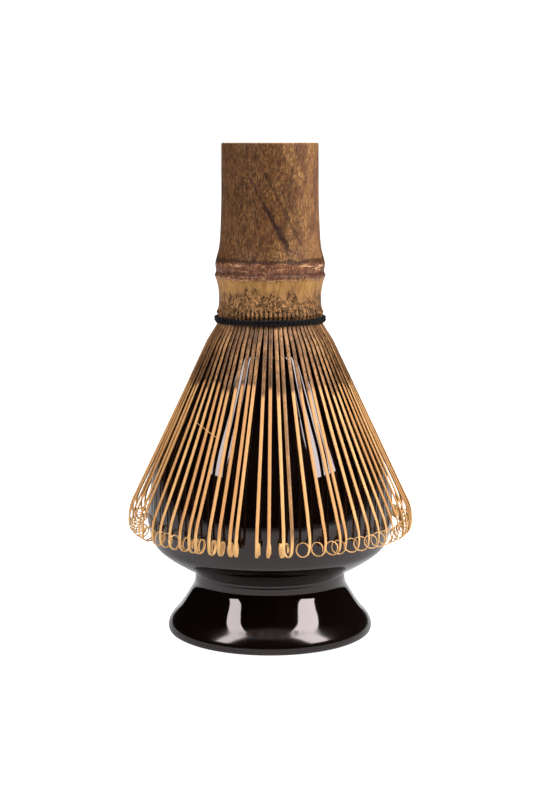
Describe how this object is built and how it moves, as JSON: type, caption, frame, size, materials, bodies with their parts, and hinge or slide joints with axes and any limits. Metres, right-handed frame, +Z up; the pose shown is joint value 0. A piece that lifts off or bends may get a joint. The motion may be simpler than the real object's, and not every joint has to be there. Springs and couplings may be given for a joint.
{
  "type": "bamboo tea whisk",
  "caption": "Bamboo whisk for powdered tea: a cut culm with a node as its handle, finely split curled tines bound with black thread, standing on a glazed ceramic holder.",
  "frame": {"origin": "middle of the holder's foot, on the surface it stands on", "axes": "+Z up along the whisk's axis; -Y faces the front; +X to the right of the front"},
  "size_m": [0.0746, 0.0747, 0.128],
  "materials": {
    "black_glaze": "glossy black glaze with a faint red cast",
    "smoked_bamboo_skin": "natural skin of a smoked, mottled culm, satin",
    "black_cotton": "twisted black cotton thread, matt",
    "shaved_bamboo": "shaved bamboo, satin, the brown skin left on near the root"
  },
  "bodies": {
    "holder": {"whisk_holder": "black_glaze"},
    "whisk": {"handle": "smoked_bamboo_skin", "binding_thread": "black_cotton", "inner_tines_01": "shaved_bamboo", "inner_tines_02": "shaved_bamboo", "inner_tines_03": "shaved_bamboo", "inner_tines_04": "shaved_bamboo", "inner_tines_05": "shaved_bamboo", "inner_tines_06": "shaved_bamboo", "inner_tines_07": "shaved_bamboo", "inner_tines_08": "shaved_bamboo", "inner_tines_09": "shaved_bamboo", "inner_tines_10": "shaved_bamboo", "inner_tines_11": "shaved_bamboo", "inner_tines_12": "shaved_bamboo", "inner_tines_13": "shaved_bamboo", "inner_tines_14": "shaved_bamboo", "inner_tines_15": "shaved_bamboo", "inner_tines_16": "shaved_bamboo", "inner_tines_17": "shaved_bamboo", "inner_tines_18": "shaved_bamboo"},
    "outer_tines_01": {"outer_tines_01": "shaved_bamboo"},
    "outer_tines_02": {"outer_tines_02": "shaved_bamboo"},
    "outer_tines_03": {"outer_tines_03": "shaved_bamboo"},
    "outer_tines_04": {"outer_tines_04": "shaved_bamboo"},
    "outer_tines_05": {"outer_tines_05": "shaved_bamboo"},
    "outer_tines_06": {"outer_tines_06": "shaved_bamboo"},
    "outer_tines_07": {"outer_tines_07": "shaved_bamboo"},
    "outer_tines_08": {"outer_tines_08": "shaved_bamboo"},
    "outer_tines_09": {"outer_tines_09": "shaved_bamboo"},
    "outer_tines_10": {"outer_tines_10": "shaved_bamboo"},
    "outer_tines_11": {"outer_tines_11": "shaved_bamboo"},
    "outer_tines_12": {"outer_tines_12": "shaved_bamboo"},
    "outer_tines_13": {"outer_tines_13": "shaved_bamboo"},
    "outer_tines_14": {"outer_tines_14": "shaved_bamboo"},
    "outer_tines_15": {"outer_tines_15": "shaved_bamboo"},
    "outer_tines_16": {"outer_tines_16": "shaved_bamboo"},
    "outer_tines_17": {"outer_tines_17": "shaved_bamboo"},
    "outer_tines_18": {"outer_tines_18": "shaved_bamboo"}
  },
  "joints": [
    {"name": "whisk_lift", "type": "slide", "parent": "holder", "child": "whisk", "axis": [0, 0, 1], "range_m": [0, 0.06]},
    {"name": "tine_flex_01", "type": "hinge", "parent": "whisk", "child": "outer_tines_01", "pos_m": [0.0008, -0.01308, 0.0823], "axis": [-0.9981, -0.061, 0], "range_deg": [0, 8], "stiffness_Nm_per_rad": 0.02, "springref_deg": -2.86},
    {"name": "tine_flex_02", "type": "hinge", "parent": "whisk", "child": "outer_tines_02", "pos_m": [0.00522, -0.01201, 0.0823], "axis": [-0.9171, -0.3987, 0], "range_deg": [0, 8], "stiffness_Nm_per_rad": 0.02, "springref_deg": -2.86},
    {"name": "tine_flex_03", "type": "hinge", "parent": "whisk", "child": "outer_tines_03", "pos_m": [0.00902, -0.0095, 0.0823], "axis": [-0.7254, -0.6884, 0], "range_deg": [0, 8], "stiffness_Nm_per_rad": 0.02, "springref_deg": -2.86},
    {"name": "tine_flex_04", "type": "hinge", "parent": "whisk", "child": "outer_tines_04", "pos_m": [0.01172, -0.00585, 0.0823], "axis": [-0.4462, -0.8949, 0], "range_deg": [0, 8], "stiffness_Nm_per_rad": 0.02, "springref_deg": -2.86},
    {"name": "tine_flex_05", "type": "hinge", "parent": "whisk", "child": "outer_tines_05", "pos_m": [0.01302, -0.00148, 0.0823], "axis": [-0.1132, -0.9936, 0], "range_deg": [0, 8], "stiffness_Nm_per_rad": 0.02, "springref_deg": -2.86},
    {"name": "tine_flex_06", "type": "hinge", "parent": "whisk", "child": "outer_tines_06", "pos_m": [0.01274, 0.00306, 0.0823], "axis": [0.2334, -0.9724, 0], "range_deg": [0, 8], "stiffness_Nm_per_rad": 0.02, "springref_deg": -2.86},
    {"name": "tine_flex_07", "type": "hinge", "parent": "whisk", "child": "outer_tines_07", "pos_m": [0.01092, 0.00723, 0.0823], "axis": [0.5519, -0.8339, 0], "range_deg": [0, 8], "stiffness_Nm_per_rad": 0.02, "springref_deg": -2.86},
    {"name": "tine_flex_08", "type": "hinge", "parent": "whisk", "child": "outer_tines_08", "pos_m": [0.00779, 0.01053, 0.0823], "axis": [0.8039, -0.5948, 0], "range_deg": [0, 8], "stiffness_Nm_per_rad": 0.02, "springref_deg": -2.86},
    {"name": "tine_flex_09", "type": "hinge", "parent": "whisk", "child": "outer_tines_09", "pos_m": [0.00372, 0.01256, 0.0823], "axis": [0.9588, -0.284, 0], "range_deg": [0, 8], "stiffness_Nm_per_rad": 0.02, "springref_deg": -2.86},
    {"name": "tine_flex_10", "type": "hinge", "parent": "whisk", "child": "outer_tines_10", "pos_m": [-0.0008, 0.01308, 0.0823], "axis": [0.9981, 0.061, 0], "range_deg": [0, 8], "stiffness_Nm_per_rad": 0.02, "springref_deg": -2.86},
    {"name": "tine_flex_11", "type": "hinge", "parent": "whisk", "child": "outer_tines_11", "pos_m": [-0.00522, 0.01201, 0.0823], "axis": [0.9171, 0.3987, 0], "range_deg": [0, 8], "stiffness_Nm_per_rad": 0.02, "springref_deg": -2.86},
    {"name": "tine_flex_12", "type": "hinge", "parent": "whisk", "child": "outer_tines_12", "pos_m": [-0.00902, 0.0095, 0.0823], "axis": [0.7254, 0.6884, 0], "range_deg": [0, 8], "stiffness_Nm_per_rad": 0.02, "springref_deg": -2.86},
    {"name": "tine_flex_13", "type": "hinge", "parent": "whisk", "child": "outer_tines_13", "pos_m": [-0.01172, 0.00585, 0.0823], "axis": [0.4462, 0.8949, 0], "range_deg": [0, 8], "stiffness_Nm_per_rad": 0.02, "springref_deg": -2.86},
    {"name": "tine_flex_14", "type": "hinge", "parent": "whisk", "child": "outer_tines_14", "pos_m": [-0.01302, 0.00148, 0.0823], "axis": [0.1132, 0.9936, 0], "range_deg": [0, 8], "stiffness_Nm_per_rad": 0.02, "springref_deg": -2.86},
    {"name": "tine_flex_15", "type": "hinge", "parent": "whisk", "child": "outer_tines_15", "pos_m": [-0.01274, -0.00306, 0.0823], "axis": [-0.2334, 0.9724, 0], "range_deg": [0, 8], "stiffness_Nm_per_rad": 0.02, "springref_deg": -2.86},
    {"name": "tine_flex_16", "type": "hinge", "parent": "whisk", "child": "outer_tines_16", "pos_m": [-0.01092, -0.00723, 0.0823], "axis": [-0.5519, 0.8339, 0], "range_deg": [0, 8], "stiffness_Nm_per_rad": 0.02, "springref_deg": -2.86},
    {"name": "tine_flex_17", "type": "hinge", "parent": "whisk", "child": "outer_tines_17", "pos_m": [-0.00779, -0.01053, 0.0823], "axis": [-0.8039, 0.5948, 0], "range_deg": [0, 8], "stiffness_Nm_per_rad": 0.02, "springref_deg": -2.86},
    {"name": "tine_flex_18", "type": "hinge", "parent": "whisk", "child": "outer_tines_18", "pos_m": [-0.00372, -0.01256, 0.0823], "axis": [-0.9588, 0.284, 0], "range_deg": [0, 8], "stiffness_Nm_per_rad": 0.02, "springref_deg": -2.86}
  ]
}
